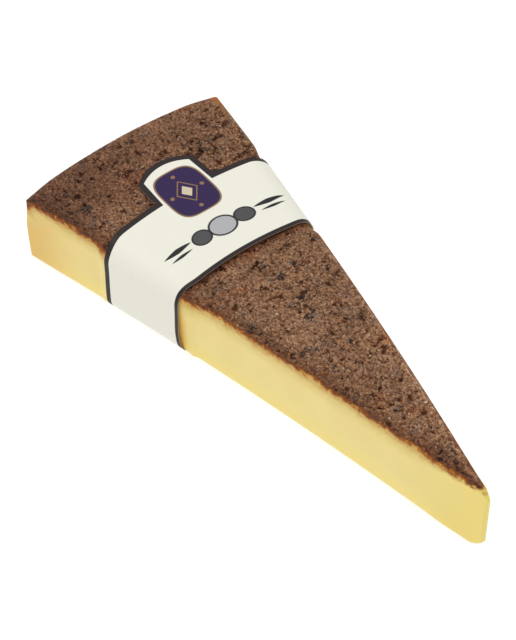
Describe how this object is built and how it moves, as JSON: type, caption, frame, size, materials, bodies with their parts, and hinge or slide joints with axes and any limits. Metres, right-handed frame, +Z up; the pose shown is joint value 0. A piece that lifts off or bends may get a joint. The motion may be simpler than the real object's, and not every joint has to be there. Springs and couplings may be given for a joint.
{
  "type": "truffle gouda wedge",
  "caption": "Long narrow wedge of semi-hard cheese with a rough brown truffle coat on top, pale cut sides, a round heel and a paper belly band with an arched tab.",
  "frame": {"origin": "middle of the bounding box at its foot, on the surface that the wedge rests on", "axes": "+X from the round heel to the tip, +Y to the far cut side, +Z up from the foot to the coated top"},
  "size_m": [0.1752, 0.0748, 0.0313],
  "materials": {
    "cheese": "smooth, slightly waxy pale yellow paste; the top is a rough, granular dark brown truffle coat",
    "paper": "matt cream card with a dark line along its edges"
  },
  "bodies": {
    "root": {"cheese": "cheese", "paper_band": "paper"}
  },
  "joints": []
}
